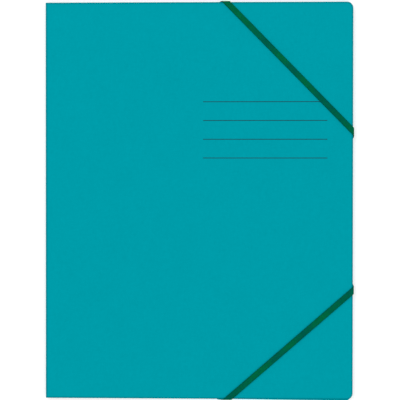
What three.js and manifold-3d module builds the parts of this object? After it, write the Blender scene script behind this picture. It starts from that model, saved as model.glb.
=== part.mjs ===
// Three flap folder for A4 papers, closed, lying on its back.
// One die-cut sheet of pressboard makes the back, its three inner flaps, the spine and the front cover.
// Two flat elastic bands cross the front cover's corners, run round the edges to the underside of the back,
// and come up through slits, where a crimped metal clip on each end holds them inside.
// Millimetres, +Z up. X runs from the spine to the fore edge, Y from the tail to the head.
// The origin is at the middle of the underside.
import * as THREE from "three";
import { mergeVertices } from "three/addons/utils/BufferGeometryUtils.js";
import Module from "manifold-3d";

const wasm = await Module();
wasm.setup();

// Board and front cover
const coverWidth = 248; // outside of the spine to the fore edge
const coverHeight = 320; // tail to head
const board = 0.5; // thickness of the pressboard
const foreCornerRadius = 5;
const spineCornerRadius = 0.8;

// Writing lines, pressed into the front cover
const lineCount = 4;
const lineLength = 100;
const linePitch = 15.1;
const firstLineFromHead = 80.2;
const linesFromForeEdge = 20.6;
const lineWidth = 0.5;
const lineDepth = 0.06;

// Back panel and its folds
const backInset = 1.2; // how far the folded edges lie inside the front cover's edges
const tailFoldSlant = THREE.MathUtils.degToRad(0.6); // the tail's fold runs out of square, past the cover
const backCornerRadius = 1.5;
const foldRadius = 0.8; // outside of a fold
const spineShoulder = 6; // full height of the sheet beside the spine
const shoulderSlope = 8; // then it slopes in to the head and tail folds over this length
const foldLap = 4; // how much of the back panel each folded strip is built with

// Flaps: their depth from the fold, and where their folds end
const endFlapDepth = 88;
const sideFlapDepth = 112;
const endFlapFromSpine = 18;
const endFlapFromForeEdge = 2.2;
const sideFlapFromEnds = 13;
const flapTaper = THREE.MathUtils.degToRad(7);
const endFlapCornerRadius = 14;
const sideFlapCornerRadius = 18;
const gusset = 9; // second score line, which lets a flap rise over a thick stack
const scoreWidth = 1.1;
const scoreDepth = 0.12;

// Gaps between the layers of the closed folder
const flapLayerGap = 0.2;
const coverGap = 0.3;
const hingeGap = 0.3; // between the spine's upper edge and the cover's rounded hinge edge

// Elastic bands
const bandWidth = 4.7;
const bandThickness = 0.7;
const bandEdge = 0.4; // width of the thinner selvedge along each side
const selvedge = 0.4; // thickness of the selvedge, as a share of the band's
const ribCount = 6; // lengthwise ribs of the weave, on both faces
const ribDepth = 0.12;
const ribShoulder = 0.3; // share of a rib's width that rises from the valley, at each side
const bandClearance = 0.1;
const slitFromEdge = 12; // from the back's folded edge to the slit, square to the edge
const slitClearance = 0.25;
const slitEndClearance = 0.4;
const bandTurnRadius = 0.55; // middle of the band, where it turns up and in at the slit
const upperBandAlongHead = 101.8; // where the bands cross the cover's edges, from its fore corners
const upperBandDownFore = 103.9;
const lowerBandAlongTail = 100.3;
const lowerBandUpFore = 87.6;

// Metal clips, crimped on the ends of the bands
const clipSheet = 0.25;
const clipWidth = 7.6; // along the slit, so that it can't pull through
const clipDepth = 3;
const clipCorner = 0.35;
const clipFromSlit = 0.35; // from the slit's edge
const clipClearance = 0.1;

// Fineness of the rounded parts, and how the solids are made
const foldSteps = 5;
const cornerSteps = 8;
const hingeSteps = 16;
const clipSteps = 3;
const mergeDistance = 1e-4;
const overcut = 1; // how far a cutting body stands out past what it cuts

// Levels, from the surface that the folder lies on
const clipHeight = bandThickness + 2 * bandClearance + 2 * clipSheet;
const backLevel = bandThickness + bandClearance;
const endFlapLevel = backLevel + board + clipHeight + 2 * clipClearance;
const sideFlapLevel = endFlapLevel + board + flapLayerGap;
const coverLevel = sideFlapLevel + board + coverGap;

// Edges
const spineX = -coverWidth / 2;
const foreX = coverWidth / 2;
const headY = coverHeight / 2;
const backForeX = foreX - backInset;
const backHeadY = headY - backInset;
const tailInset = (x) => backInset - (x - spineX) * Math.tan(tailFoldSlant);
const hingeX = spineX + board / 2;
const hingeZ = coverLevel + board / 2;

const up = new THREE.Vector3(0, 0, 1);

// A closed geometry as a manifold solid, its shared corners merged.
function toSolid(geometry) {
  const bare = geometry.clone();
  bare.deleteAttribute("normal");
  bare.deleteAttribute("uv");
  const merged = mergeVertices(bare, mergeDistance);
  return new wasm.Manifold(
    new wasm.Mesh({
      numProp: 3,
      vertProperties: merged.attributes.position.array,
      triVerts: new Uint32Array(merged.index.array),
    }),
  );
}

// A manifold solid as a geometry again.
function toGeometry(solid) {
  const mesh = solid.getMesh();
  const geometry = new THREE.BufferGeometry();
  geometry.setAttribute("position", new THREE.BufferAttribute(mesh.vertProperties, 3));
  geometry.setIndex(new THREE.BufferAttribute(mesh.triVerts, 1));
  geometry.computeVertexNormals();
  return geometry;
}

function extrude(shape, depth, curveSegments = cornerSteps) {
  return new THREE.ExtrudeGeometry(shape, { depth, curveSegments, bevelEnabled: false });
}

// The line that the middle of a bent sheet follows, seen end on: u is outwards, z is up, and a bend turns
// towards +z for a positive angle. It keeps a sample at each end of a straight and several round a bend.
class BendLine {
  constructor(u, z, heading = 0) {
    this.samples = [{ u, z, heading, run: 0 }];
  }

  get last() {
    return this.samples[this.samples.length - 1];
  }

  straight(length) {
    const { u, z, heading, run } = this.last;
    this.samples.push({
      u: u + length * Math.cos(heading),
      z: z + length * Math.sin(heading),
      heading,
      run: run + length,
    });
    return this;
  }

  bend(angle, radius, steps = foldSteps) {
    const { u, z, heading, run } = this.last;
    const turn = Math.sign(angle) * radius;
    const centreU = u - turn * Math.sin(heading);
    const centreZ = z + turn * Math.cos(heading);
    for (let i = 1; i <= steps; i++) {
      const now = heading + (angle * i) / steps;
      this.samples.push({
        u: centreU + turn * Math.sin(now),
        z: centreZ - turn * Math.cos(now),
        heading: now,
        run: run + (radius * Math.abs(angle) * i) / steps,
      });
    }
    return this;
  }
}

// A place along an edge: origin on the edge at z = 0, out across it, along it.
class EdgeFrame {
  constructor(origin, out, along) {
    this.origin = origin;
    this.out = out;
    this.along = along;
  }

  point(u, z, e) {
    return this.origin
      .clone()
      .addScaledVector(this.out, u)
      .addScaledVector(this.along, e)
      .addScaledVector(up, z);
  }

  // A line across the sheet at one sample of its bend line, from e1 to e2 along the edge. side is 1 where
  // the sheet's upper face is the one to the left of the heading.
  station(sample, e1, e2, above, below, side = 1) {
    const normal = new THREE.Vector3()
      .addScaledVector(this.out, -Math.sin(sample.heading) * side)
      .addScaledVector(up, Math.cos(sample.heading) * side);
    return {
      from: this.point(sample.u, sample.z, e1),
      to: this.point(sample.u, sample.z, e2),
      normal,
      above,
      below,
    };
  }
}

// Sections of a strip: across from 0 to 1, and 1 or -1 for its upper or lower face.
const boardSection = [
  [0, -1],
  [1, -1],
  [1, 1],
  [0, 1],
];
const bandSection = ribbedSection();

// The elastic's section: flat ribs between shallow valleys, and a thinner selvedge at each side.
function ribbedSection() {
  const edge = bandEdge / bandWidth;
  const rib = (1 - 2 * edge) / ribCount;
  const valley = 1 - (2 * ribDepth) / bandThickness;
  const upper = [[0, selvedge]];
  for (let i = 0; i < ribCount; i++) {
    const start = edge + i * rib;
    upper.push([start, valley], [start + rib * ribShoulder, 1], [start + rib * (1 - ribShoulder), 1]);
  }
  upper.push([1 - edge, valley], [1, selvedge]);
  const lower = upper.map(([share, face]) => [share, -face]);
  return lower.concat(upper.reverse());
}

// A strip of sheet as one closed body, from one station to the next.
function stripGeometry(stations, section) {
  const middle = ({ from, to }) => from.clone().add(to);
  const travel = middle(stations[1]).sub(middle(stations[0]));
  const across = stations[0].to.clone().sub(stations[0].from);
  const turned = across.cross(stations[0].normal).dot(travel) < 0;
  const positions = [];
  for (const { from, to, normal, above, below } of stations)
    for (const [share, face] of section) {
      const point = from.clone().lerp(to, turned ? 1 - share : share);
      point.addScaledVector(normal, face > 0 ? face * above : face * below);
      positions.push(point.x, point.y, point.z);
    }
  const count = section.length;
  const triangles = [];
  for (let i = 0; i + 1 < stations.length; i++)
    for (let j = 0; j < count; j++) {
      const a = i * count + j;
      const b = i * count + ((j + 1) % count);
      triangles.push(a, b, b + count, a, b + count, a + count);
    }
  const end = (stations.length - 1) * count;
  for (let j = 1; j + 1 < count; j++) {
    triangles.push(0, j + 1, j);
    triangles.push(end, end + j, end + j + 1);
  }
  const geometry = new THREE.BufferGeometry();
  geometry.setAttribute("position", new THREE.Float32BufferAttribute(positions, 3));
  geometry.setIndex(triangles);
  return geometry;
}

// A flap with the fold that joins it to the back panel. Its outline narrows from the fold, has rounded free
// corners, and carries the second score line. e1 and e2 are the fold's ends along the edge.
function flapStrip(frame, e1, e2, flapLevel, depth, cornerRadius) {
  const radius = foldRadius - board / 2;
  const wall = flapLevel + board - backLevel - 2 * foldRadius;
  const half = board / 2;
  const fold = new BendLine(-foldRadius - foldLap, backLevel + half)
    .straight(foldLap)
    .bend(Math.PI / 2, radius)
    .straight(wall)
    .bend(Math.PI / 2, radius);
  const stations = fold.samples.map((sample) => frame.station(sample, e1, e2, half, half));
  // From here the strip runs flat, and d is the distance in from the fold's outside.
  const { z, heading } = fold.last;
  const flat = (d, narrowing, below = half) =>
    stations.push(frame.station({ u: -d, z, heading }, e1 + narrowing, e2 - narrowing, half, below));
  const slope = Math.tan(flapTaper);
  flat(gusset - scoreWidth / 2, (gusset - scoreWidth / 2) * slope);
  flat(gusset, gusset * slope, half - scoreDepth);
  flat(gusset + scoreWidth / 2, (gusset + scoreWidth / 2) * slope);
  const centreD = depth - cornerRadius;
  const centreIn = centreD * slope + cornerRadius / Math.cos(flapTaper);
  for (let i = 0; i <= cornerSteps; i++) {
    const angle = flapTaper + ((Math.PI / 2 - flapTaper) * i) / cornerSteps;
    flat(centreD + cornerRadius * Math.sin(angle), centreIn - cornerRadius * Math.cos(angle));
  }
  return stripGeometry(stations, boardSection);
}

// The spine, from the back panel up to just under the front cover's hinge edge.
function spineStrip() {
  const origin = new THREE.Vector3(spineX, 0, 0);
  const frame = new EdgeFrame(origin, new THREE.Vector3(-1, 0, 0), new THREE.Vector3(0, 1, 0));
  const top = hingeZ - board / 2 - hingeGap;
  const line = new BendLine(-foldRadius - foldLap, backLevel + board / 2)
    .straight(foldLap)
    .bend(Math.PI / 2, foldRadius - board / 2)
    .straight(top - backLevel - foldRadius);
  const stations = line.samples.map((sample) => frame.station(sample, -headY, headY, board / 2, board / 2));
  return stripGeometry(stations, boardSection);
}

// The back panel inside its folds, with sloping shoulders beside the spine and rounded fore corners.
function backPanel() {
  const left = spineX + foldRadius;
  const right = backForeX - foldRadius;
  const shoulderEnd = spineX + spineShoulder;
  const slopeEnd = shoulderEnd + shoulderSlope;
  const side = backHeadY - foldRadius;
  const tailSide = (x) => tailInset(x) - headY + foldRadius / Math.cos(tailFoldSlant);
  const r = backCornerRadius;
  const tailCornerY = tailSide(right - r) + r / Math.cos(tailFoldSlant);
  const shape = new THREE.Shape();
  shape.moveTo(left, -headY);
  shape.lineTo(shoulderEnd, -headY);
  shape.lineTo(slopeEnd, tailSide(slopeEnd));
  shape.absarc(right - r, tailCornerY, r, -Math.PI / 2 - tailFoldSlant, 0, false);
  shape.lineTo(right, side - r);
  shape.absarc(right - r, side - r, r, 0, Math.PI / 2, false);
  shape.lineTo(slopeEnd, side);
  shape.lineTo(shoulderEnd, headY);
  shape.lineTo(left, headY);
  shape.closePath();
  return extrude(shape, board).translate(0, 0, backLevel);
}

// The middle line of a band round one edge of the closed folder, from above the front cover to the back.
// It is taut, so it runs straight from the cover's edge to the fold below, which lies inset from that edge.
function wrapLine(inset) {
  const coverRadius = board * Math.SQRT1_2 + bandClearance + bandThickness / 2;
  const backRadius = foldRadius + bandClearance + bandThickness / 2;
  const fromU = -board / 2;
  const fromZ = hingeZ;
  const toU = -inset - foldRadius;
  const toZ = backLevel + foldRadius;
  const span = Math.hypot(toU - fromU, toZ - fromZ);
  const lean = Math.atan2(toZ - fromZ, toU - fromU) + Math.acos((coverRadius - backRadius) / span);
  const firstTurn = Math.PI / 2 - lean;
  const taut = Math.sqrt(span ** 2 - (coverRadius - backRadius) ** 2);
  return new BendLine(fromU, fromZ + coverRadius)
    .bend(-firstTurn, coverRadius, 2 * foldSteps)
    .straight(taut)
    .bend(-(Math.PI - firstTurn), backRadius);
}

// One half of a band: round an edge, along the underside, up through its slit and into its clip.
// frame's origin is where the band crosses the cover's edge, its along points away from the corner, and
// slant is the angle between the band and the direction across the edge.
function bandHalf(frame, slant, foldInset) {
  const half = bandThickness / 2;
  const reach = bandWidth / 2 / Math.cos(slant);
  const wrap = wrapLine(foldInset);
  const stations = wrap.samples.map((sample) => {
    const e = (wrap.samples[0].u + sample.run) * Math.tan(slant);
    return frame.station(sample, e - reach, e + reach, half, half);
  });
  const { u, z, run } = wrap.last;
  const slitRun = (foldInset + slitFromEdge + u) / Math.cos(slant);
  const e = (wrap.samples[0].u + run) * Math.tan(slant);
  const inward = frame.out.clone().multiplyScalar(-Math.cos(slant));
  inward.addScaledVector(frame.along, Math.sin(slant));
  const sideways = frame.along.clone().multiplyScalar(Math.cos(slant));
  sideways.addScaledVector(frame.out, Math.sin(slant));
  const start = frame.point(u, 0, e);
  const slitFrame = new EdgeFrame(start.clone().addScaledVector(inward, slitRun), inward, sideways);
  const insideLevel = backLevel + board + clipClearance + clipSheet + bandClearance + half;
  const clipStart = slitWidth / 2 + clipFromSlit;
  const bandEnd = clipStart + clipDepth - clipSheet - bandClearance;
  const line = new BendLine(-bandTurnRadius, z)
    .bend(Math.PI / 2, bandTurnRadius)
    .straight(insideLevel - z - 2 * bandTurnRadius)
    .bend(-Math.PI / 2, bandTurnRadius)
    .straight(bandEnd - bandTurnRadius);
  for (const sample of line.samples)
    stations.push(slitFrame.station(sample, -bandWidth / 2, bandWidth / 2, half, half, -1));
  return { stations, slitFrame, clipStart };
}

const slitWidth = bandThickness + 2 * slitClearance;
const slitLength = bandWidth + 2 * slitEndClearance;

// A geometry drawn with x along a slit frame's inward direction, y up and z across, set in place.
function placeAtSlit(geometry, { origin, out }) {
  const basis = new THREE.Matrix4().makeBasis(out, up, out.clone().cross(up));
  return geometry.applyMatrix4(basis.setPosition(origin));
}

function slitCutter(slitFrame) {
  const box = new THREE.BoxGeometry(slitWidth, board + 2 * overcut, slitLength);
  box.translate(0, backLevel + board / 2, 0);
  return toSolid(placeAtSlit(box, slitFrame));
}

// A clip is a folded channel, open towards the slit, with the band's end inside.
function clipGeometry({ slitFrame, clipStart }) {
  const bottom = backLevel + board + clipClearance;
  const top = bottom + clipHeight;
  const end = clipStart + clipDepth;
  const shape = new THREE.Shape();
  shape.moveTo(clipStart, bottom);
  shape.lineTo(end - clipCorner, bottom);
  shape.absarc(end - clipCorner, bottom + clipCorner, clipCorner, -Math.PI / 2, 0, false);
  shape.lineTo(end, top - clipCorner);
  shape.absarc(end - clipCorner, top - clipCorner, clipCorner, 0, Math.PI / 2, false);
  shape.lineTo(clipStart, top);
  shape.lineTo(clipStart, top - clipSheet);
  shape.lineTo(end - clipSheet, top - clipSheet);
  shape.lineTo(end - clipSheet, bottom + clipSheet);
  shape.lineTo(clipStart, bottom + clipSheet);
  shape.closePath();
  const channel = extrude(shape, clipWidth, clipSteps).translate(0, 0, -clipWidth / 2);
  return placeAtSlit(channel, slitFrame);
}

// A whole band, from the clip at the head or tail, across the cover's corner, to the clip at the fore edge.
// end is 1 for the corner at the head and -1 for the one at the tail.
function makeBand(end, alongEdge, alongFore) {
  const slant = Math.atan(alongEdge / alongFore);
  // On its way down to the back's fold the band moves along the edge, towards the spine.
  const foldX = foreX - alongEdge - wrapLine(backInset).last.run * Math.tan(slant);
  const atEdge = bandHalf(
    new EdgeFrame(
      new THREE.Vector3(foreX - alongEdge, end * headY, 0),
      new THREE.Vector3(0, end, 0),
      new THREE.Vector3(-1, 0, 0),
    ),
    slant,
    end > 0 ? backInset : tailInset(foldX),
  );
  const atFore = bandHalf(
    new EdgeFrame(
      new THREE.Vector3(foreX, end * (headY - alongFore), 0),
      new THREE.Vector3(1, 0, 0),
      new THREE.Vector3(0, -end, 0),
    ),
    Math.PI / 2 - slant,
    backInset,
  );
  const stations = [...atEdge.stations].reverse().concat(atFore.stations);
  return { geometry: stripGeometry(stations, bandSection), halves: [atEdge, atFore] };
}

// The back, its flaps and the spine are one folded sheet, with the four slits cut through it.
function makeBack(bandHalves) {
  const east = new THREE.Vector3(1, 0, 0);
  const north = new THREE.Vector3(0, 1, 0);
  const headFrame = new EdgeFrame(new THREE.Vector3(0, backHeadY, 0), north, east);
  const tailFrame = new EdgeFrame(
    new THREE.Vector3(0, tailInset(0) - headY, 0),
    north.clone().negate().applyAxisAngle(up, -tailFoldSlant),
    east.clone().applyAxisAngle(up, -tailFoldSlant),
  );
  const foreFrame = new EdgeFrame(new THREE.Vector3(backForeX, 0, 0), east, north);
  const endFold = [spineX + endFlapFromSpine, backForeX - endFlapFromForeEdge];
  const sideFold = backHeadY - sideFlapFromEnds;
  const parts = [
    spineStrip(),
    flapStrip(headFrame, ...endFold, endFlapLevel, endFlapDepth, endFlapCornerRadius),
    flapStrip(tailFrame, ...endFold, endFlapLevel, endFlapDepth, endFlapCornerRadius),
    flapStrip(foreFrame, -sideFold, sideFold, sideFlapLevel, sideFlapDepth, sideFlapCornerRadius),
  ];
  let sheet = toSolid(backPanel());
  for (const part of parts) sheet = sheet.add(toSolid(part));
  for (const { slitFrame } of bandHalves) sheet = sheet.subtract(slitCutter(slitFrame));
  return toGeometry(sheet);
}

// The front cover's edge seen end on, rounded at the hinge, cut to its outline seen from above.
function makeCover() {
  const r = board / 2;
  const edge = new THREE.Shape();
  edge.moveTo(hingeX, -r);
  edge.lineTo(foreX + overcut, -r);
  edge.lineTo(foreX + overcut, r);
  edge.lineTo(hingeX, r);
  edge.absarc(hingeX, 0, r, Math.PI / 2, Math.PI * 1.5, false);
  const slab = extrude(edge, coverHeight + 2 * overcut, hingeSteps);
  slab.translate(0, 0, -headY - overcut).rotateX(Math.PI / 2).translate(0, 0, hingeZ);

  const outline = new THREE.Shape();
  const fore = foreCornerRadius;
  const spine = spineCornerRadius;
  outline.moveTo(spineX + spine, -headY);
  outline.lineTo(foreX - fore, -headY);
  outline.absarc(foreX - fore, -headY + fore, fore, -Math.PI / 2, 0, false);
  outline.lineTo(foreX, headY - fore);
  outline.absarc(foreX - fore, headY - fore, fore, 0, Math.PI / 2, false);
  outline.lineTo(spineX + spine, headY);
  outline.absarc(spineX + spine, headY - spine, spine, Math.PI / 2, Math.PI, false);
  outline.lineTo(spineX, -headY + spine);
  outline.absarc(spineX + spine, -headY + spine, spine, Math.PI, Math.PI * 1.5, false);
  const blank = extrude(outline, board + 2 * overcut).translate(0, 0, coverLevel - overcut);

  let cover = toSolid(slab).intersect(toSolid(blank));
  for (let i = 0; i < lineCount; i++) {
    const groove = new THREE.BoxGeometry(lineLength, lineWidth, 2 * lineDepth);
    groove.translate(
      foreX - linesFromForeEdge - lineLength / 2,
      headY - firstLineFromHead - i * linePitch,
      coverLevel + board,
    );
    cover = cover.subtract(toSolid(groove));
  }
  return toGeometry(cover);
}

const pressboard = { color: 0x009ca9, roughness: 0.85, metalness: 0 };
const elastic = { color: 0x025b3e, roughness: 0.9, metalness: 0 };
const tinplate = { color: 0xb9bcbe, roughness: 0.35, metalness: 1 };

const folder = new THREE.Group();
function addMesh(name, geometry, look) {
  const mesh = new THREE.Mesh(geometry, new THREE.MeshStandardMaterial(look));
  mesh.name = name;
  folder.add(mesh);
}

const upperBand = makeBand(1, upperBandAlongHead, upperBandDownFore);
const lowerBand = makeBand(-1, lowerBandAlongTail, lowerBandUpFore);

addMesh("back_with_flaps", makeBack([...upperBand.halves, ...lowerBand.halves]), pressboard);
addMesh("front_cover", makeCover(), pressboard);
addMesh("upper_band", upperBand.geometry, elastic);
addMesh("lower_band", lowerBand.geometry, elastic);
addMesh("upper_band_head_clip", clipGeometry(upperBand.halves[0]), tinplate);
addMesh("upper_band_fore_clip", clipGeometry(upperBand.halves[1]), tinplate);
addMesh("lower_band_tail_clip", clipGeometry(lowerBand.halves[0]), tinplate);
addMesh("lower_band_fore_clip", clipGeometry(lowerBand.halves[1]), tinplate);

// The bands and the tail's fold stand out past the cover, so the whole is moved to centre it on the origin.
const middle = new THREE.Box3().setFromObject(folder, true).getCenter(new THREE.Vector3());
folder.position.set(-middle.x, -middle.y, 0);

export default folder;
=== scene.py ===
"""A three flap folder for A4 papers, closed, seen from its front cover.

The folder is pressed board folded from one sheet. Two woven elastic bands cross the front cover's
corners and run round its edges to the back. Everything is in metres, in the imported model's frame.
"""

import logging
import math
from collections.abc import Sequence
from dataclasses import dataclass, field
from enum import Enum

import bmesh
import bpy
import numpy as np
from mathutils import Euler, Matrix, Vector


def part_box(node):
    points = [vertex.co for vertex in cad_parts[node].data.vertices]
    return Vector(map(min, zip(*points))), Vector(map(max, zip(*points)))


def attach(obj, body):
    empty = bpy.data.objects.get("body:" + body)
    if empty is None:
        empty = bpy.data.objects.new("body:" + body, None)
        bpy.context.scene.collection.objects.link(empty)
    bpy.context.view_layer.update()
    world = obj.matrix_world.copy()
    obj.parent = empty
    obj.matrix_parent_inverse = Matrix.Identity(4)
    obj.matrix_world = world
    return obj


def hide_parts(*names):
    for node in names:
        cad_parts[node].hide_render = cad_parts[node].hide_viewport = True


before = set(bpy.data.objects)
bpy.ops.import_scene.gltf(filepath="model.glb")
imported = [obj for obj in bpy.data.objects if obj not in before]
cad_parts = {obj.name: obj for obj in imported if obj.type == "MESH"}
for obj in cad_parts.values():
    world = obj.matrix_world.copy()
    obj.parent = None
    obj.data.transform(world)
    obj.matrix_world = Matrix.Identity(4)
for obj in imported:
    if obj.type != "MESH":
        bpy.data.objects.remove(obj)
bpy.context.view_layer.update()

log = logging.getLogger("folder")

MM = 0.001
TINY = 0.001 * MM  # places nearer than this are one
UP = np.array([0.0, 0.0, 1.0])
SMOOTH_UP_TO = math.radians(30)  # faces that meet at less are shaded as one
ROUND_PROFILE = 0.5
WHITE = (1.0, 1.0, 1.0, 1.0)
Colour = tuple[float, float, float]


class Body(Enum):
    """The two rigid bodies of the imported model."""

    BACK = "back"
    COVER = "cover"


class Corner(Enum):
    """The corner of the cover that a band crosses; the value is its side along Y."""

    HEAD = 1
    TAIL = -1


class FaceKind(Enum):
    """The material index of a board face."""

    SURFACE = 0
    CUT = 1


# Shader trees


class ShaderTree:
    """Short calls to add and join the nodes of one shader tree."""

    # A Mix node's sockets for its factor, its two colours and their mix.
    MIX_INPUTS = (0, 6, 7)
    MIX_OUTPUT = 2

    def __init__(self, tree: bpy.types.NodeTree) -> None:
        """Takes the tree to work on."""
        self.tree = tree

    def feed(self, socket: bpy.types.NodeSocket, value: object) -> None:
        """Gives an input socket its value.

        Args:
            socket: The input socket.
            value: A plain value, or the output socket to link to it.
        """
        if isinstance(value, bpy.types.NodeSocket):
            self.tree.links.new(value, socket)
        else:
            socket.default_value = value

    def add(self, kind: str, **settings: object) -> bpy.types.Node:
        """Adds a node.

        Args:
            kind: The node's type name, without its Shader Node prefix.
            **settings: Attributes to set on the node.

        Returns:
            The new node.
        """
        node = self.tree.nodes.new("ShaderNode" + kind)
        for name, value in settings.items():
            setattr(node, name, value)
        return node

    def put(self, node: bpy.types.Node, **inputs: object) -> bpy.types.Node:
        """Sets a node's sockets, from values or from other sockets.

        Args:
            node: The node.
            **inputs: Socket names, with _ for a space, and a value or an output socket for each.

        Returns:
            The same node.
        """
        for name, value in inputs.items():
            self.feed(node.inputs[name.replace("_", " ")], value)
        return node

    def math(self, operation: str, *values: object) -> bpy.types.NodeSocket:
        """Adds a Math node.

        Args:
            operation: Its operation.
            *values: Up to three numbers or output sockets.

        Returns:
            The result's socket.
        """
        node = self.add("Math", operation=operation)
        for socket, value in zip(node.inputs, values):
            self.feed(socket, value)
        return node.outputs[0]

    def blend(
        self, factor: object, a: object, b: object, mode: str = "MIX"
    ) -> bpy.types.NodeSocket:
        """Adds a colour Mix node.

        Args:
            factor: The share of b.
            a: The first colour.
            b: The second colour.
            mode: How the two are blended.

        Returns:
            The result's socket.
        """
        node = self.add("Mix", data_type="RGBA", blend_type=mode)
        factor_in, a_in, b_in = (node.inputs[index] for index in self.MIX_INPUTS)
        self.feed(factor_in, factor)
        self.feed(a_in, a)
        self.feed(b_in, b)
        return node.outputs[self.MIX_OUTPUT]

    def noise(self, vector: bpy.types.NodeSocket, scale: object, detail: float) -> bpy.types.Node:
        """Adds a Noise texture and returns its node."""
        return self.put(self.add("TexNoise"), Vector=vector, Scale=scale, Detail=detail)

    def bump(
        self, height: bpy.types.NodeSocket, distance: float, strength: float = 1.0
    ) -> bpy.types.NodeSocket:
        """Adds a Bump node and returns its normal."""
        node = self.put(self.add("Bump"), Height=height, Distance=distance, Strength=strength)
        return node.outputs["Normal"]

    def toned(self, colour: object, tone: bpy.types.NodeSocket) -> bpy.types.NodeSocket:
        """Multiplies a colour by a tone that varies around 1.

        Args:
            colour: The colour, or its socket.
            tone: The tone's socket.

        Returns:
            The result's socket.
        """
        grey = self.add("CombineXYZ")
        for socket in grey.inputs:
            self.feed(socket, tone)
        return self.blend(1.0, colour, grey.outputs[0], mode="MULTIPLY")


def rgba(colour: Colour) -> tuple[float, float, float, float]:
    """Returns a colour with full alpha."""
    return (*colour, 1.0)


def new_material(name: str) -> tuple[bpy.types.Material, ShaderTree, bpy.types.Node]:
    """Makes a material with a Principled shader.

    Args:
        name: The material's name.

    Returns:
        The material, its ShaderTree and its shader node.
    """
    material = bpy.data.materials.new(name)
    material.use_nodes = True
    return material, ShaderTree(material.node_tree), material.node_tree.nodes["Principled BSDF"]


def new_group(
    name: str, inputs: dict[str, float], outputs: dict[str, str]
) -> tuple[bpy.types.NodeTree, ShaderTree, bpy.types.Node, bpy.types.Node]:
    """Makes an empty shader node group with its sockets.

    Args:
        name: The group's name.
        inputs: Float inputs and their default values.
        outputs: Output names and their socket types.

    Returns:
        The group, its ShaderTree, its input node and its output node.
    """
    group = bpy.data.node_groups.new(name, "ShaderNodeTree")
    group.interface.new_socket("Vector", in_out="INPUT", socket_type="NodeSocketVector")
    for socket, default in inputs.items():
        made = group.interface.new_socket(socket, in_out="INPUT", socket_type="NodeSocketFloat")
        made.default_value = default
    for socket, kind in outputs.items():
        group.interface.new_socket(socket, in_out="OUTPUT", socket_type=kind)
    tree = ShaderTree(group)
    return group, tree, group.nodes.new("NodeGroupInput"), group.nodes.new("NodeGroupOutput")


def make_mottle_group() -> bpy.types.NodeTree:
    """Makes the group for the soft clouds and short fibres that dyed pulp and yarn both show.

    Returns:
        A group with a Tone around 1, and the Height of its fibres.
    """
    sizes = {"Cloud Scale": 60.0, "Cloud Amount": 0.02, "Fibre Scale": 900.0, "Fibre Amount": 0.04}
    fibre_stretches = ((1.0, 0.22, 1.0), (0.25, 1.0, 1.0))
    cloud_detail, warp_detail, fibre_detail = 4.0, 1.0, 3.0
    warp_reach = 12 * MM
    middle = 0.5
    group, tree, given, out = new_group(
        "mottle", sizes, {"Tone": "NodeSocketFloat", "Height": "NodeSocketFloat"}
    )
    vector, cloud_scale = given.outputs["Vector"], given.outputs["Cloud Scale"]
    cloud = tree.noise(vector, cloud_scale, cloud_detail)
    warp = tree.noise(vector, cloud_scale, warp_detail)
    swirl = tree.add("VectorMath", operation="MULTIPLY_ADD")
    for socket, value in zip(swirl.inputs, (warp.outputs["Color"], (warp_reach,) * 3, vector)):
        tree.feed(socket, value)
    fibres = []
    for stretch in fibre_stretches:
        mapping = tree.put(tree.add("Mapping"), Vector=swirl.outputs[0], Scale=stretch)
        fibre = tree.noise(mapping.outputs["Vector"], given.outputs["Fibre Scale"], fibre_detail)
        fibres.append(fibre.outputs["Fac"])
    height = tree.math("MULTIPLY", tree.math("ADD", *fibres), 1 / len(fibres))
    cloud_part = tree.math("SUBTRACT", cloud.outputs["Fac"], middle)
    cloud_part = tree.math("MULTIPLY", cloud_part, given.outputs["Cloud Amount"])
    fibre_part = tree.math("SUBTRACT", height, middle)
    fibre_part = tree.math("MULTIPLY", fibre_part, given.outputs["Fibre Amount"])
    tone = tree.math("ADD", tree.math("ADD", cloud_part, fibre_part), 1.0)
    tree.put(out, Tone=tone, Height=height)
    return group


@dataclass(frozen=True)
class Mottle:
    """How strongly and how finely the shared mottle group marks a finish."""

    group: bpy.types.NodeTree
    cloud_scale: float
    cloud_amount: float
    fibre_scale: float
    fibre_amount: float

    def place(self, tree: ShaderTree) -> bpy.types.Node:
        """Puts the group into a material's tree, on object coordinates.

        Args:
            tree: The material's tree.

        Returns:
            The group's node.
        """
        node = tree.add("Group", node_tree=self.group)
        return tree.put(
            node,
            Vector=tree.add("TexCoord").outputs["Object"],
            Cloud_Scale=self.cloud_scale,
            Cloud_Amount=self.cloud_amount,
            Fibre_Scale=self.fibre_scale,
            Fibre_Amount=self.fibre_amount,
        )


# Finishes


@dataclass(frozen=True)
class BoardFinish:
    """Matte board, dyed through, with a faint mottle of fibres, and painted shade along cut edges
    and in score lines.
    """

    PAINTED_SHADE = "pressed"

    name: str
    colour: Colour
    mottle: Mottle
    roughness: float = 0.82
    grain: float = 0.03 * MM
    grain_strength: float = 0.5
    # how much the painted shade darkens the board
    painted_shade_strength: float = 0.25

    def material(self) -> bpy.types.Material:
        """Builds the finish.

        Returns:
            Its material.
        """
        material, tree, shader = new_material(self.name)
        mottle = self.mottle.place(tree)
        # Painted shade: the attribute darkens the colour along cut edges and in score lines.
        pressed = tree.add("Attribute", attribute_name=self.PAINTED_SHADE)
        shade = tree.math("MULTIPLY_ADD", pressed.outputs["Fac"], -self.painted_shade_strength, 1.0)
        tone = tree.math("MULTIPLY", shade, mottle.outputs["Tone"])
        tree.put(
            shader,
            Base_Color=tree.toned(rgba(self.colour), tone),
            Roughness=self.roughness,
            Specular_IOR_Level=0.0,
            Normal=tree.bump(mottle.outputs["Height"], self.grain, self.grain_strength),
        )
        return material


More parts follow.
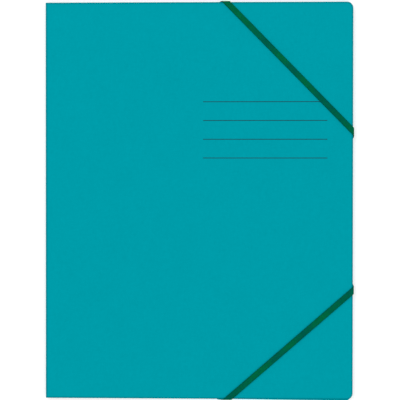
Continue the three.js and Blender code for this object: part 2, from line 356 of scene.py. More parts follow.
@dataclass(frozen=True)
class CutBoardFinish:
    """The board's die-cut edge, where its layers of pulp lie open."""

    WAVES_PER_SCALE = 20 / math.tau  # waves per metre at a scale of 1

    name: str
    colour: Colour
    mottle: Mottle
    layer: float = 0.09 * MM
    layer_relief: float = 0.03 * MM
    distortion: float = 2.5
    contrast: float = 0.18
    roughness: float = 0.95

    def material(self) -> bpy.types.Material:
        """Builds the finish.

        Returns:
            Its material.
        """
        material, tree, shader = new_material(self.name)
        mottle = self.mottle.place(tree)
        layers = tree.put(
            tree.add("TexWave", bands_direction="Z"),
            Vector=tree.add("TexCoord").outputs["Object"],
            Scale=1 / (self.WAVES_PER_SCALE * self.layer),
            Distortion=self.distortion,
        )
        shade = tree.math("MULTIPLY_ADD", layers.outputs["Fac"], self.contrast, 1 - self.contrast)
        tone = tree.math("MULTIPLY", shade, mottle.outputs["Tone"])
        tree.put(
            shader,
            Base_Color=tree.toned(rgba(self.colour), tone),
            Roughness=self.roughness,
            Specular_IOR_Level=0.0,
            Normal=tree.bump(layers.outputs["Fac"], self.layer_relief),
        )
        return material


@dataclass(frozen=True)
class ElasticFinish:
    """Dyed yarn over rubber cores, with painted shade between the stitches and a slight fuzz."""

    name: str
    raised: Colour
    painted_valley_shade: Colour
    cool: Colour
    mottle: Mottle
    roughness: float = 0.9
    sheen: float = 0.02
    sheen_roughness: float = 0.5
    sheen_tint: Colour = (0.0, 0.8, 0.55)
    fuzz: float = 0.04 * MM
    fuzz_strength: float = 0.5

    def material(self) -> bpy.types.Material:
        """Builds the finish.

        Returns:
            Its material.
        """
        material, tree, shader = new_material(self.name)
        mottle = self.mottle.place(tree)
        relief = tree.add("Attribute", attribute_name=ElasticBand.RELIEF)
        stitch = tree.add("Attribute", attribute_name=ElasticBand.STITCH)
        yarn = tree.blend(stitch.outputs["Fac"], rgba(self.raised), rgba(self.cool))
        # Painted shade: low relief between the stitches takes the darker valley colour.
        colour = tree.blend(relief.outputs["Fac"], rgba(self.painted_valley_shade), yarn)
        tree.put(
            shader,
            Base_Color=tree.toned(colour, mottle.outputs["Tone"]),
            Roughness=self.roughness,
            Specular_IOR_Level=0.0,
            Sheen_Weight=self.sheen,
            Sheen_Roughness=self.sheen_roughness,
            Sheen_Tint=rgba(self.sheen_tint),
            Normal=tree.bump(mottle.outputs["Height"], self.fuzz, self.fuzz_strength),
        )
        return material


@dataclass(frozen=True)
class InkFinish:
    """Dark printing ink that lies thinly on the board and lets its fibres through."""

    name: str
    colour: Colour
    mottle: Mottle
    roughness: float = 0.6

    def material(self) -> bpy.types.Material:
        """Builds the finish.

        Returns:
            Its material.
        """
        material, tree, shader = new_material(self.name)
        mottle = self.mottle.place(tree)
        tree.put(
            shader,
            Base_Color=tree.toned(rgba(self.colour), mottle.outputs["Tone"]),
            Roughness=self.roughness,
            Specular_IOR_Level=0.0,
        )
        return material


@dataclass(frozen=True)
class TinplateFinish:
    """Bright rolled sheet, with fine lines along its rolling direction."""

    name: str
    colour: Colour = (0.52, 0.53, 0.54)
    roughness: float = 0.25
    roughness_spread: float = 0.2
    line_relief: float = 0.01 * MM
    line_density: float = 1500.0
    line_stretch: tuple[float, float, float] = (1.0, 12.0, 4.0)
    line_detail: float = 3.0
    line_strength: float = 0.2
    line_tone: float = 0.5

    def material(self) -> bpy.types.Material:
        """Builds the finish.

        Returns:
            Its material.
        """
        material, tree, shader = new_material(self.name)
        place = tree.add("TexCoord").outputs["Object"]
        drawn = tree.put(tree.add("Mapping"), Vector=place, Scale=self.line_stretch)
        noise = tree.noise(drawn.outputs["Vector"], self.line_density, self.line_detail)
        lines = noise.outputs["Fac"]
        rough = tree.math("MULTIPLY_ADD", lines, self.roughness_spread, self.roughness)
        tree.put(
            shader,
            Base_Color=tree.toned(rgba(self.colour), tree.math("ADD", lines, self.line_tone)),
            Metallic=1.0,
            Roughness=rough,
            Normal=tree.bump(lines, self.line_relief, self.line_strength),
        )
        return material


# Mesh helpers


def link_mesh(name: str, mesh: bpy.types.Mesh) -> bpy.types.Object:
    """Makes an object of a mesh and puts it in the scene.

    Args:
        name: The object's name.
        mesh: The mesh.

    Returns:
        The object.
    """
    piece = bpy.data.objects.new(name, mesh)
    bpy.context.scene.collection.objects.link(piece)
    return piece


def mesh_from_arrays(
    name: str, points: np.ndarray, faces: list[Sequence[int]]
) -> bpy.types.Mesh:
    """Makes a smooth-shaded mesh.

    Args:
        name: The mesh's name.
        points: Vertex places in metres, one row each.
        faces: Vertex indices of each face.

    Returns:
        The mesh.
    """
    mesh = bpy.data.meshes.new(name)
    mesh.from_pydata(points.tolist(), [], faces)
    mesh.polygons.foreach_set("use_smooth", np.ones(len(mesh.polygons), dtype=bool))
    mesh.update()
    return mesh


def set_attribute(mesh: bpy.types.Mesh, name: str, values: np.ndarray) -> None:
    """Gives a mesh a number at each vertex.

    Args:
        mesh: The mesh.
        name: The attribute's name.
        values: One number for each vertex.
    """
    made = mesh.attributes.new(name, "FLOAT", "POINT")
    made.data.foreach_set("value", values.astype(np.float32).reshape(-1))


@dataclass(frozen=True)
class Leg:
    """One stretch of a bend line: its length, and the angle that it turns through."""

    length: float
    turn: float = 0.0


@dataclass
class BendLine:
    """The middle of a bent strip, seen end on. u is outwards, and a positive turn is towards +z."""

    u: float
    z: float
    heading: float = 0.0
    legs: list[Leg] = field(default_factory=list)

    def straight(self, length: float) -> "BendLine":
        """Adds a straight stretch of this length and returns the line."""
        self.legs.append(Leg(length))
        return self

    def bend(self, angle: float, radius: float) -> "BendLine":
        """Adds a round bend through this angle and returns the line."""
        self.legs.append(Leg(abs(angle) * radius, angle))
        return self

    @property
    def length(self) -> float:
        """The length of all the stretches."""
        return sum(leg.length for leg in self.legs)

    def at(self, run: np.ndarray) -> tuple[np.ndarray, np.ndarray, np.ndarray]:
        """Finds places on the line, which goes on straight past both its ends.

        Args:
            run: Distances along the line from its start.

        Returns:
            Arrays of u, z and heading, one value for each distance.
        """
        u, z, heading = self.u, self.z, self.heading
        out_u = u + run * math.cos(heading)
        out_z = z + run * math.sin(heading)
        out_heading = np.full_like(run, heading)
        start = 0.0
        for leg in [*self.legs, Leg(1.0)]:
            here = run >= start
            along = run[here] - start
            if leg.turn:
                radius = leg.length / leg.turn
                now = heading + np.minimum(along, leg.length) / radius
                out_u[here] = u + radius * (np.sin(now) - math.sin(heading))
                out_z[here] = z - radius * (np.cos(now) - math.cos(heading))
                out_heading[here] = now
                after = heading + leg.turn
                u += radius * (math.sin(after) - math.sin(heading))
                z -= radius * (math.cos(after) - math.cos(heading))
                heading = after
            else:
                out_u[here] = u + along * math.cos(heading)
                out_z[here] = z + along * math.sin(heading)
                out_heading[here] = heading
                u += leg.length * math.cos(heading)
                z += leg.length * math.sin(heading)
            start += leg.length
        return out_u, out_z, out_heading


@dataclass(frozen=True)
class EdgeFrame:
    """A place along an edge: where it is at z = 0, the way out across it, and the way along it."""

    origin: np.ndarray
    out: np.ndarray
    along: np.ndarray

    def point(self, u: np.ndarray, z: np.ndarray, e: np.ndarray) -> np.ndarray:
        """Returns the places at u outwards, z up and e along the edge."""
        return self.origin + u[..., None] * self.out + z[..., None] * UP + e[..., None] * self.along


# The board


@dataclass(frozen=True)
class Sheet:
    """Sizes of the closed folder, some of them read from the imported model's boxes."""

    board: float = 0.5 * MM
    back_inset: float = 1.2 * MM
    fold_radius: float = 0.8 * MM
    tail_slant: float = math.radians(0.6)
    cover: tuple[Vector, Vector] = field(default_factory=lambda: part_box("front_cover"))
    back: tuple[Vector, Vector] = field(default_factory=lambda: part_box("back_with_flaps"))

    @property
    def spine_x(self) -> float:
        """Where the outside of the spine is."""
        return self.cover[0].x

    @property
    def fore_x(self) -> float:
        """Where the cover's fore edge is."""
        return self.cover[1].x

    @property
    def tail_y(self) -> float:
        """Where the cover's tail edge is."""
        return self.cover[0].y

    @property
    def head_y(self) -> float:
        """Where the cover's head edge is."""
        return self.cover[1].y

    @property
    def cover_z(self) -> float:
        """The level of the middle of the cover's board."""
        return (self.cover[0].z + self.cover[1].z) / 2

    @property
    def face_middle(self) -> Vector:
        """The middle of the cover's upper face."""
        middle = (self.cover[0] + self.cover[1]) / 2
        return Vector((middle.x, middle.y, self.cover[1].z))

    @property
    def back_z(self) -> float:
        """The level of the back panel's underside."""
        return self.back[0].z

    @property
    def flaps_top_z(self) -> float:
        """The level of the top of the folded flaps, which is the side flap's."""
        return self.back[1].z

    def tail_inset(self, x: float) -> float:
        """Returns how far the tail's fold lies inside the cover's edge at x."""
        return self.back_inset - (x - self.spine_x) * math.tan(self.tail_slant)


@dataclass
class FoldedBack:
    """The back panel, the spine and the three flaps, folded from one sheet.

    A face counts as die-cut where enough of its outline is sharp, and where its area over its
    outline is below cut_narrowness boards.
    """

    sheet: Sheet
    surface: BoardFinish
    cut: CutBoardFinish
    soft_edge: float = 0.07 * MM
    soft_edge_steps: int = 2
    flat: float = math.radians(1)
    sharp: float = math.radians(50)
    cut_sharp_share: float = 0.6
    cut_narrowness: float = 0.8
    most_corners: int = 4
    flap_gap: float = 0.2 * MM
    score_depth: float = 0.12 * MM
    crease_gap: float = 0.02 * MM
    near: float = 0.01 * MM

    def is_cut(self, face: bmesh.types.BMFace) -> bool:
        """Tells whether a face is a narrow die-cut edge, with sharp edges along both sides.

        Args:
            face: A face of the folded back.

        Returns:
            Whether it is.
        """
        around = face.calc_perimeter()
        sharp = sum(edge.calc_length() for edge in face.edges if self.is_sharp(edge))
        narrow = face.calc_area() / around < self.cut_narrowness * self.sheet.board
        return narrow and sharp > self.cut_sharp_share * around

    def is_sharp(self, edge: bmesh.types.BMEdge) -> bool:
        """Tells whether the board turns sharply at an edge."""
        return edge.calc_face_angle(0) > self.sharp

    def close_crease(self, shape: bmesh.types.BMesh) -> list[bmesh.types.BMFace]:
        """Raises the spine's upper edge to just under the cover's round one, as in a creased sheet.

        Args:
            shape: The folded back.

        Returns:
            The faces of that edge.
        """
        s = self.sheet
        spine = [vert for vert in shape.verts if vert.co.x < s.spine_x + s.board + self.near]
        top = max(vert.co.z for vert in spine)
        raised = [vert for vert in spine if vert.co.z > top - self.near]
        for vert in raised:
            vert.co.z = s.cover_z - s.board / 2 - self.crease_gap
        return [face for face in shape.faces if all(vert in raised for vert in face.verts)]

    def paint_score_shade(self, mesh: bpy.types.Mesh) -> None:
        """Marks the bottoms of the flaps' score lines for painted shade.

        Args:
            mesh: The finished piece's mesh.
        """
        side_flap = self.sheet.flaps_top_z
        end_flap = side_flap - self.sheet.board - self.flap_gap
        places = np.empty((len(mesh.vertices), 3), dtype=np.float32)
        mesh.vertices.foreach_get("co", places.reshape(-1))
        # Painted shade in the bottoms of the score lines, where shade falls in the crease.
        bottoms = [
            np.abs(places[:, 2] - (top - self.score_depth)) < self.near
            for top in (side_flap, end_flap)
        ]
        set_attribute(mesh, BoardFinish.PAINTED_SHADE, np.logical_or(*bottoms))

    def build(self) -> bpy.types.Object:
        """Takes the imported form, softens its edges and tells its cut edges from its surface.

        Returns:
            The finished piece.
        """
        shape = bmesh.new()
        shape.from_mesh(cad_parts["back_with_flaps"].data)
        bmesh.ops.remove_doubles(shape, verts=shape.verts, dist=TINY)
        bmesh.ops.dissolve_limit(
            shape, angle_limit=self.flat, verts=shape.verts, edges=shape.edges
        )
        for face in shape.faces:
            face.material_index = (FaceKind.CUT if self.is_cut(face) else FaceKind.SURFACE).value
            face.smooth = True
        for face in self.close_crease(shape):
            face.material_index = FaceKind.SURFACE.value
        bmesh.ops.bevel(
            shape,
            geom=[edge for edge in shape.edges if self.is_sharp(edge)],
            offset=self.soft_edge,
            segments=self.soft_edge_steps,
            profile=ROUND_PROFILE,
            affect="EDGES",
            clamp_overlap=True,
        )
        crowded = [face for face in shape.faces if len(face.verts) > self.most_corners]
        bmesh.ops.triangulate(shape, faces=crowded)
        mesh = bpy.data.meshes.new("folded_back_board")
        shape.to_mesh(mesh)
        shape.free()
        mesh.set_sharp_from_angle(angle=SMOOTH_UP_TO)
        self.paint_score_shade(mesh)
        piece = link_mesh("folded_back_board", mesh)
        for finish in (self.surface, self.cut):
            mesh.materials.append(bpy.data.materials[finish.name])
        return piece

    def dress(self) -> list[bpy.types.Object]:
        """Builds the piece and hands it to the back's body.

        Returns:
            The piece, in a list.
        """
        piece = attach(self.build(), Body.BACK.value)
        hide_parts("back_with_flaps")
        return [piece]


@dataclass
class FrontCover:
    """The front cover: a flat blank with die-cut edges, and a round fold along the spine."""

    sheet: Sheet
    surface: BoardFinish
    cut: CutBoardFinish
    fore_radius: float = 5 * MM
    spine_radius: float = 0.8 * MM
    soft_edge: float = 0.1 * MM
    # width of the painted edge shade, and how far it fades out
    painted_shade_rim: float = 0.8 * MM
    painted_shade_fade: float = 0.6 * MM
    smallest_radius: float = 0.05 * MM
    rings: int = 14
    corner_steps: int = 16

    def outline(self, inset: float, hinge_inset: float) -> list[tuple[float, float]]:
        """Gives one level's outline.

        Args:
            inset: How far the cut edges lie inside the blank.
            hinge_inset: How far the hinge edge lies inside it.

        Returns:
            Points from the tail's fore corner, counterclockwise.
        """
        s = self.sheet
        fore = self.fore_radius - inset
        spine = max(self.spine_radius - inset, self.smallest_radius)
        corners = (
            (s.fore_x - inset, s.tail_y + inset, fore, -1, 1, -90),
            (s.fore_x - inset, s.head_y - inset, fore, -1, -1, 0),
            (s.spine_x + hinge_inset, s.head_y - inset, spine, 1, -1, 90),
            (s.spine_x + hinge_inset, s.tail_y + inset, spine, 1, 1, 180),
        )
        points = []
        for x, y, radius, into_x, into_y, first in corners:
            for step in range(self.corner_steps + 1):
                angle = math.radians(first + 90 * step / self.corner_steps)
                points.append(
                    (
                        x + into_x * radius + radius * math.cos(angle),
                        y + into_y * radius + radius * math.sin(angle),
                    )
                )
        return points

    def levels(self) -> list[tuple[float, float, float]]:
        """Gives the blank's levels from its lower face to its upper one.

        Returns:
            A height from the middle of the board, an inset and a hinge inset for each. The first
            two and the last two lie in the faces: between them the painted edge shade fades out.
        """
        half = self.sheet.board / 2
        levels = []
        for ring in range(self.rings + 1):
            dz = -half * math.cos(math.pi * ring / self.rings)
            hinge_inset = half - math.sqrt(max(half**2 - dz**2, 0))
            over = max(abs(dz) - (half - self.soft_edge), 0)
            inset = self.soft_edge - math.sqrt(max(self.soft_edge**2 - over**2, 0))
            levels.append((dz, inset, hinge_inset))
        margins = (self.painted_shade_rim + self.painted_shade_fade, self.painted_shade_rim)
        lower = [(-half, self.soft_edge + margin, half + margin) for margin in margins]
        upper = [(half, inset, hinge_inset) for _, inset, hinge_inset in reversed(lower)]
        return [*lower, *levels, *upper]

    def build(self) -> bpy.types.Object:
        """Lofts the blank from level to level between its two faces.

        Returns:
            The finished piece.
        """
        levels = self.levels()
        middle = self.sheet.cover_z
        points = [
            (x, y, middle + dz)
            for dz, inset, hinge_inset in levels
            for x, y in self.outline(inset, hinge_inset)
        ]
        last = len(levels) - 1
        count = len(points) // len(levels)
        faces = []
        for ring in range(last):
            for i in range(count):
                a = ring * count + i
                b = ring * count + (i + 1) % count
                faces.append((a, b, b + count, a + count))
        faces.append(tuple(reversed(range(count))))
        faces.append(tuple(range(last * count, (last + 1) * count)))
        mesh = mesh_from_arrays("cover_board", np.array(points), faces)
        mesh.set_sharp_from_angle(angle=SMOOTH_UP_TO)
        for finish in (self.surface, self.cut):
            mesh.materials.append(bpy.data.materials[finish.name])
        # The first two and the last two rings of faces lie flat. The rest is cut, but for the fold.
        hinge = self.sheet.spine_x + self.sheet.board
        for face in mesh.polygons[2 * count : (last - 2) * count]:
            if face.center.x > hinge:
                face.material_index = FaceKind.CUT.value
        # Painted shade along the edges: every ring but the two innermost gets it.
        pressed = np.ones((last + 1, count))
        pressed[[0, last]] = 0
        set_attribute(mesh, BoardFinish.PAINTED_SHADE, pressed)
        return link_mesh("cover_board", mesh)

    def dress(self) -> list[bpy.types.Object]:
        """Builds the piece and hands it to the cover's body.

        Returns:
            The piece, in a list.
        """
        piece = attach(self.build(), Body.COVER.value)
        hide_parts("front_cover")
        return [piece]


@dataclass
class WritingLines:
    """The printed lines for a title, on the upper half of the front cover."""

    sheet: Sheet
    ink: InkFinish
    count: int = 4
    length: float = 100 * MM
    pitch: float = 15.1 * MM
    from_head: float = 80.2 * MM
    from_fore: float = 20.6 * MM
    width: float = 0.56 * MM  # the ink spreads a little past the pressed line
    raised: float = 0.008 * MM
    thickness: float = 0.024 * MM
    waver: float = 0.06
    step: float = 1.0 * MM
    seed: int = 4

    def build(self, index: int) -> bpy.types.Object:
        """Makes one line as a thin closed strip whose edges waver as printed ink does.

        Args:
            index: Which line, from the head.

        Returns:
            The finished piece.
        """
        spread = np.random.default_rng(self.seed + index)
        end = self.sheet.fore_x - self.from_fore
        x = np.arange(end - self.length, end + self.step / 2, self.step)
        y = self.sheet.head_y - self.from_head - index * self.pitch
        top = self.sheet.cover_z + self.sheet.board / 2 + self.raised
        low = top - self.thickness
        arrises = ((-1, low), (1, low), (1, top), (-1, top))
        points = []
        for side, level in arrises:
            half = self.width / 2 * (1 + self.waver * spread.standard_normal(len(x)))
            points.append(np.column_stack((x, y + side * half, np.full_like(x, level))))
        count = len(x)
        rows = range(len(arrises))
        faces = []
        for row in rows:
            for i in range(count - 1):
                a = row * count + i
                b = (row + 1) % len(arrises) * count + i
                faces.append((a, b, b + 1, a + 1))
        faces.append(tuple(row * count for row in reversed(rows)))
        faces.append(tuple(row * count + count - 1 for row in rows))
        mesh = mesh_from_arrays(f"writing_line_{index + 1}", np.concatenate(points), faces)
        mesh.polygons.foreach_set("use_smooth", np.zeros(len(mesh.polygons), dtype=bool))
        mesh.materials.append(bpy.data.materials[self.ink.name])
        return link_mesh(mesh.name, mesh)

    def dress(self) -> list[bpy.types.Object]:
        """Builds all the lines and hands them to the cover's body.

        Returns:
            The lines, from the head.
        """
        pieces = [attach(self.build(index), Body.COVER.value) for index in range(self.count)]
        return pieces


# The bands


@dataclass(frozen=True)
class BandHalf:
    """Half a band: round an edge of the cover, along the underside and up through its slit."""

    edge: EdgeFrame
    slant: float
    wrap: BendLine
    slit: EdgeFrame
    rise: BendLine
    slit_at: float

    def place(self, t: np.ndarray, b: np.ndarray) -> tuple[np.ndarray, np.ndarray]:
        """Maps the flat band into place.

        Args:
            t: Distances along the band from where it crosses the cover's edge, outwards.
            b: Distances across the band from its middle.

        Returns:
            The places on the band's middle surface, and the directions out of its outer face.
        """
        cos, sin = math.cos(self.slant), math.sin(self.slant)
        u, z, heading = self.wrap.at(t * cos - b * sin - self.wrap.u)
        points = self.edge.point(u, z, t * sin + b * cos)
        normals = -np.sin(heading)[..., None] * self.edge.out + np.cos(heading)[..., None] * UP
        inside = t > self.slit_at
        u, z, heading = self.rise.at(t[inside] - self.slit_at)
        points[inside] = self.slit.point(u, z, b[inside])
        turned = np.sin(heading)[..., None] * self.slit.out - np.cos(heading)[..., None] * UP
        normals[inside] = turned
        return points, normals


@dataclass
class ElasticBand:
    """A flat woven elastic band, from its clip by the head or tail to its clip by the fore edge."""

    RELIEF = "relief"
    STITCH = "stitch"

    name: str
    node: str
    corner: Corner
    along_edge: float
    along_fore: float
    sheet: Sheet
    finish: ElasticFinish
    seed: int
    width: float = 4.7 * MM
    thickness: float = 0.7 * MM
    clearance: float = 0.1 * MM
    slit_from_edge: float = 12 * MM
    turn_radius: float = 0.55 * MM
    clip_sheet: float = 0.25 * MM
    clip_start: float = 0.95 * MM
    clip_depth: float = 3 * MM
    ribs: int = 6
    selvedge: float = 0.4 * MM
    valley: float = 0.3
    rim: float = 0.15
    stitch: float = 1.15 * MM
    stitch_lean: float = 0.3
    stitch_roundness: float = 0.6
    stitch_valley: float = 0.45
    selvedge_height: float = 0.75
    selvedge_valley: float = 0.7
    stitch_tone_share: float = 0.45
    drift: tuple[float, float] = (7 * MM, 19 * MM)
    drift_swing: float = 1.7
    step: float = 0.2 * MM
    steps_per_rib: int = 6
    selvedge_steps: int = 3

    def wrap_line(self, inset: float) -> BendLine:
        """Follows the band's middle round the cover's edge, down to the fold and under the back.

        Args:
            inset: How far the fold lies inside the cover's edge.

        Returns:
            The line, from above the cover to the underside.
        """
        s = self.sheet
        clear = self.clearance + self.thickness / 2
        cover_radius = s.board * math.sqrt(0.5) + clear
        back_radius = s.fold_radius + clear
        du = -inset - s.fold_radius + s.board / 2
        dz = s.back_z + s.fold_radius - s.cover_z
        span = math.hypot(du, dz)
        lean = math.atan2(dz, du) + math.acos((cover_radius - back_radius) / span)
        first = math.pi / 2 - lean
        taut = math.sqrt(span**2 - (cover_radius - back_radius) ** 2)
        line = BendLine(-s.board / 2, s.cover_z + cover_radius)
        return line.bend(-first, cover_radius).straight(taut).bend(first - math.pi, back_radius)

    def half(self, edge: EdgeFrame, slant: float, inset: float) -> BandHalf:
        """Lays out one half.

        Args:
            edge: The cover's edge where the band crosses it, with its way along from the corner.
            slant: The angle between the band and the way out across the edge.
            inset: How far the back's fold lies inside the cover's edge there.

        Returns:
            The half.
        """
        s = self.sheet
        wrap = self.wrap_line(inset)
        end_u, end_z, _ = (float(value[0]) for value in wrap.at(np.array([wrap.length])))
        to_slit = (inset + self.slit_from_edge + end_u) / math.cos(slant)
        wrapped = (wrap.u + wrap.length) / math.cos(slant)
        inward = edge.along * math.sin(slant) - edge.out * math.cos(slant)
        sideways = edge.along * math.cos(slant) + edge.out * math.sin(slant)
        under = edge.point(
            np.array([end_u]), np.array([0.0]), np.array([wrapped * math.sin(slant)])
        )[0]
        slit = EdgeFrame(under + inward * to_slit, inward, sideways)
        inside = s.back_z + s.board + self.clip_sheet + 2 * self.clearance + self.thickness / 2
        rise = BendLine(-self.turn_radius, end_z)
        rise.bend(math.pi / 2, self.turn_radius)
        rise.straight(inside - end_z - 2 * self.turn_radius)
        rise.bend(-math.pi / 2, self.turn_radius)
        into_clip = self.clip_depth - self.clip_sheet - self.clearance
        rise.straight(self.clip_start + into_clip - self.turn_radius)
        return BandHalf(edge, slant, wrap, slit, rise, wrapped + to_slit - self.turn_radius)

    def halves(self) -> tuple[BandHalf, BandHalf]:
        """Lays out both halves.

        Returns:
            The half at the head or tail, and the half at the fore edge.
        """
        s = self.sheet
        side = self.corner.value
        edge_y = s.head_y if self.corner is Corner.HEAD else s.tail_y
        slant = math.atan2(self.along_edge, self.along_fore)
        fold_shift = self.wrap_line(s.back_inset).length * math.tan(slant)
        cross_x = s.fore_x - self.along_edge
        inset = s.back_inset if self.corner is Corner.HEAD else s.tail_inset(cross_x - fold_shift)
        edge = EdgeFrame(
            np.array([cross_x, edge_y, 0]), np.array([0, side, 0]), np.array([-1, 0, 0])
        )
        fore = EdgeFrame(
            np.array([s.fore_x, edge_y - side * self.along_fore, 0]),
            np.array([1, 0, 0]),
            np.array([0, -side, 0]),
        )
        return (
            self.half(edge, slant, inset),
            self.half(fore, math.pi / 2 - slant, s.back_inset),
        )

    def weave(self, a: np.ndarray, b: np.ndarray) -> tuple[np.ndarray, np.ndarray]:
        """Works out the woven surface.

        Args:
            a: Distances along the band.
            b: Distances across it from its middle.

        Returns:
            The surface's height, from 0 in the valleys to 1, and each stitch's tone, from 0 to 1.
        """
        spread = np.random.default_rng(self.seed)
        woven = self.width - 2 * self.selvedge
        q = (b + woven / 2) / woven * self.ribs
        rib = np.clip(np.floor(q), -1, self.ribs)
        over_rib = np.clip(q - rib, 0, 1)
        crown = np.sqrt(np.clip(np.sin(math.pi * over_rib), 0, 1))
        every_other = rib % 2
        lean = self.stitch_lean * (1 - 2 * every_other)
        phase = a / self.stitch + every_other / 2 + lean * (over_rib - 1 / 2)
        bulge = np.abs(np.sin(math.pi * phase)) ** self.stitch_roundness
        height = crown * (self.stitch_valley + (1 - self.stitch_valley) * bulge)
        edge = (np.abs(b) - woven / 2) / self.selvedge
        bound = self.selvedge_height * np.sqrt(np.clip(1 - edge**2, 0, 1))
        bound *= self.selvedge_valley + (1 - self.selvedge_valley) * bulge
        height = np.where(edge > 0, bound, height)
        stitches = np.floor(phase).astype(int)
        tones = spread.random((self.ribs + 2, stitches.max() - stitches.min() + 1))
        tone = tones[(rib + 1).astype(int), stitches - stitches.min()]
        short, long = self.drift
        swing = self.drift_swing * np.sin(a / long)
        drift = (1 + np.sin(a / short + swing + self.seed)) / 2
        return height, self.stitch_tone_share * tone + (1 - self.stitch_tone_share) * drift

    def build(self) -> bpy.types.Object:
        """Makes the woven strip, closed, with both faces and its selvedges.

        Returns:
            The finished piece.
        """
        first, second = self.halves()
        crossing = math.hypot(self.along_edge, self.along_fore)
        start = -crossing / 2 - first.slit_at - first.rise.length
        end = crossing / 2 + second.slit_at + second.rise.length
        a = np.linspace(start, end, int((end - start) / self.step) + 1)
        woven = self.width / 2 - self.selvedge
        ribs = np.linspace(-woven, woven, self.ribs * self.steps_per_rib + 1)
        round_edge = np.linspace(0, math.pi / 2, self.selvedge_steps + 1)[1:]
        edge = self.width / 2 - self.selvedge * (1 - np.sin(round_edge))
        b = np.concatenate((-edge[::-1], ribs, edge))
        grid_a, grid_b = np.meshgrid(a, b, indexing="ij")
        near_first = grid_a < 0
        across_a, across_n = first.place(np.where(near_first, -grid_a, 0) - crossing / 2, grid_b)
        fore_a, fore_n = second.place(np.where(near_first, 0, grid_a) - crossing / 2, grid_b)
        middle = np.where(near_first[..., None], across_a, fore_a)
        normal = np.where(near_first[..., None], across_n, fore_n)
        height, tone = self.weave(grid_a, grid_b)
        rise = self.thickness / 2 * (1 - self.valley * (1 - height))
        outermost = np.abs(grid_b) > self.width / 2 - TINY
        rise = np.where(outermost, self.rim * self.thickness, rise)
        outer = middle + normal * rise[..., None]
        inner = middle - normal * rise[..., None]
        loop = np.concatenate((outer, inner[:, ::-1]), axis=1)
        rows, around, _ = loop.shape
        index = np.arange(rows * around).reshape(rows, around)
        beside = np.roll(index, -1, axis=1)
        quads = np.stack((index[:-1], beside[:-1], beside[1:], index[1:]), axis=-1)
        ends = [index[0, ::-1].tolist(), index[-1].tolist()]
        faces = quads.reshape(-1, quads.shape[-1]).tolist() + ends
        mesh = mesh_from_arrays(self.name, loop.reshape(-1, 3), faces)
        for attribute, values in ((self.RELIEF, height), (self.STITCH, tone)):
            set_attribute(mesh, attribute, np.concatenate((values, values[:, ::-1]), axis=1))
        mesh.materials.append(bpy.data.materials[self.finish.name])
        self.face_outwards(mesh)
        return link_mesh(self.name, mesh)

    @staticmethod
    def face_outwards(mesh: bpy.types.Mesh) -> None:
        """Turns all the faces to point out of the closed strip.

        Args:
            mesh: The strip's mesh.
        """
        shape = bmesh.new()
        shape.from_mesh(mesh)
        bmesh.ops.recalc_face_normals(shape, faces=shape.faces)
        if shape.calc_volume(signed=True) < 0:
            bmesh.ops.reverse_faces(shape, faces=shape.faces)
        shape.to_mesh(mesh)
        shape.free()

    def dress(self) -> list[bpy.types.Object]:
        """Builds the piece and hands it to the back's body.

        Returns:
            The piece, in a list.
        """
        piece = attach(self.build(), Body.BACK.value)
        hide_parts(self.node)
        return [piece]


@dataclass
class CrimpClips:
    """The four metal clips on the bands' ends, which keep their packed form."""

    finish: TinplateFinish
    nodes: tuple[str, ...] = (
        "upper_band_head_clip",
        "upper_band_fore_clip",
        "lower_band_tail_clip",
        "lower_band_fore_clip",
    )

    def dress(self) -> list[bpy.types.Object]:
        """Gives each clip its finish.

        Returns:
            The clips.
        """
        clips = [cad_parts[name] for name in self.nodes]
        for clip in clips:
            clip.data.materials.clear()
            clip.data.materials.append(bpy.data.materials[self.finish.name])
        return clips


# The studio


@dataclass(frozen=True)
class Lamp:
    """A soft square lamp that looks at the folder."""

    name: str
    place: tuple[float, float, float]
    size: float
    watts: float

    def build(self) -> None:
        """Adds the lamp to the scene."""
        data = bpy.data.lights.new(self.name, "AREA")
        data.shape = "SQUARE"
        data.size = self.size
        data.energy = self.watts
        lamp = bpy.data.objects.new(self.name, data)
        lamp.location = self.place
        lamp.rotation_euler = (-Vector(self.place)).to_track_quat("-Z", "Y").to_euler()
        bpy.context.scene.collection.objects.link(lamp)


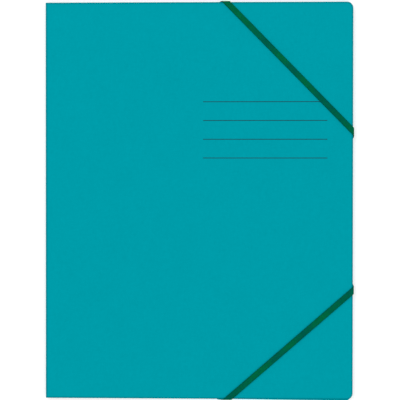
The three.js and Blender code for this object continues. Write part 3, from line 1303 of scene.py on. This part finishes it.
@dataclass(frozen=True)
class Studio:
    """A white floor and surroundings, two soft lamps and the camera."""

    lamps: tuple[Lamp, ...] = (
        Lamp("key_lamp", (-0.7, 0.9, 1.7), 1.6, 11.0),
        Lamp("fill_lamp", (0.9, -0.8, 1.6), 1.6, 6.6),
    )
    ambient: float = 0.71
    floor_size: float = 40.0
    floor_colour: Colour = (0.72, 0.72, 0.72)
    floor_glow: float = 0.42
    distance: float = 1100 * MM
    aim: tuple[float, float] = (0.98 * MM, 0.61 * MM)
    tilt: tuple[float, float, float] = (-0.668, 1.91, 0.043)  # degrees
    pixels_per_mm: float = 1.2393
    image_pixels: int = 400
    clip_start: float = 10 * MM
    clip_end: float = 100.0

    @staticmethod
    def seen_mask(tree: ShaderTree) -> bpy.types.NodeSocket:
        """Tells apart the rays by which the background is seen.

        Args:
            tree: The material's or the world's tree.

        Returns:
            A socket that is 1 for rays from the camera, from gloss and through glass, and else 0.
        """
        rays = tree.add("LightPath").outputs
        indirect = tree.math("MAXIMUM", rays["Is Glossy Ray"], rays["Is Transmission Ray"])
        return tree.math("MAXIMUM", rays["Is Camera Ray"], indirect)

    def build_world(self) -> None:
        """Makes the surroundings: soft light from all round, and white where they are seen."""
        world = bpy.data.worlds.new("surroundings")
        world.use_nodes = True
        bpy.context.scene.world = world
        tree = ShaderTree(world.node_tree)
        sky = world.node_tree.nodes["Background"]
        spread = tree.math("MULTIPLY_ADD", self.seen_mask(tree), 1 - self.ambient, self.ambient)
        tree.put(sky, Color=WHITE, Strength=spread)

    def build_floor(self) -> None:
        """Makes the pale floor, which keeps the folder's shadow."""
        half = self.floor_size / 2
        points = np.array([(-half, -half, 0), (half, -half, 0), (half, half, 0), (-half, half, 0)])
        mesh = mesh_from_arrays("floor", points, [(0, 1, 2, 3)])
        floor = link_mesh("floor", mesh)
        material, tree, shader = new_material("floor_white")
        mesh.materials.append(material)
        material.node_tree.nodes.remove(shader)
        diffuse = tree.put(tree.add("BsdfDiffuse"), Color=rgba(self.floor_colour))
        glow = tree.math("MULTIPLY", self.seen_mask(tree), self.floor_glow)
        light = tree.put(tree.add("Emission"), Color=WHITE, Strength=glow)
        both = tree.add("AddShader")
        for socket, part in zip(both.inputs, (diffuse, light)):
            tree.feed(socket, part.outputs[0])
        tree.put(material.node_tree.nodes["Material Output"], Surface=both.outputs[0])

    def build_camera(self, face: Vector) -> None:
        """Places the camera nearly square above the cover.

        Args:
            face: The middle of the cover's face, at which the scale holds.
        """
        data = bpy.data.cameras.new("camera")
        data.lens = self.pixels_per_mm / MM * self.distance / self.image_pixels * data.sensor_width
        data.clip_start, data.clip_end = self.clip_start, self.clip_end
        camera = bpy.data.objects.new("camera", data)
        turn = Euler([math.radians(angle) for angle in self.tilt], "XYZ").to_matrix()
        camera.rotation_euler = turn.to_euler()
        target = face + Vector((*self.aim, 0))
        camera.location = target + turn @ Vector((0, 0, self.distance))
        bpy.context.scene.collection.objects.link(camera)
        bpy.context.scene.camera = camera

    def build(self, face: Vector) -> None:
        """Makes the world, the floor, the lamps and the camera.

        Args:
            face: The middle of the cover's face, which the camera looks at.
        """
        bpy.context.scene.view_settings.view_transform = "Standard"
        self.build_world()
        self.build_floor()
        for lamp in self.lamps:
            lamp.build()
        self.build_camera(face)


def main() -> None:
    """Builds the finishes, the folder's sub-assemblies and the studio, in order."""
    logging.basicConfig(level=logging.INFO, format="%(name)s: %(message)s")
    sheet = Sheet()
    mottle = make_mottle_group()
    pulp = Mottle(mottle, cloud_scale=45.0, cloud_amount=0.05, fibre_scale=900.0, fibre_amount=0.22)
    yarn = Mottle(mottle, cloud_scale=200.0, cloud_amount=0.3, fibre_scale=4000.0, fibre_amount=0.5)
    surface = BoardFinish("board_surface", (0.0, 0.332, 0.397), pulp)
    cut = CutBoardFinish("board_cut_edge", (0.0, 0.2, 0.24), pulp)
    ink = InkFinish("line_ink", (0.012, 0.055, 0.068), pulp)
    elastic = ElasticFinish(
        "elastic_yarn",
        raised=(0.0005, 0.19, 0.052),
        # the darker colour is painted shade between the stitches
        painted_valley_shade=(0.0, 0.058, 0.026),
        cool=(0.0, 0.115, 0.1),
        mottle=yarn,
    )
    tinplate = TinplateFinish("tinplate")
    for finish in (surface, cut, ink, elastic, tinplate):
        finish.material()
    upper = ElasticBand(
        "upper_elastic", "upper_band", Corner.HEAD, 101.8 * MM, 103.9 * MM, sheet, elastic, seed=7
    )
    lower = ElasticBand(
        "lower_elastic", "lower_band", Corner.TAIL, 100.3 * MM, 87.6 * MM, sheet, elastic, seed=11
    )
    assemblies = (
        FoldedBack(sheet, surface, cut),
        FrontCover(sheet, surface, cut),
        WritingLines(sheet, ink),
        upper,
        lower,
        CrimpClips(tinplate),
    )
    for assembly in assemblies:
        for piece in assembly.dress():
            log.info("%s: %d faces", piece.name, len(piece.data.polygons))
    Studio().build(sheet.face_middle)


if __name__ == "__main__":
    main()
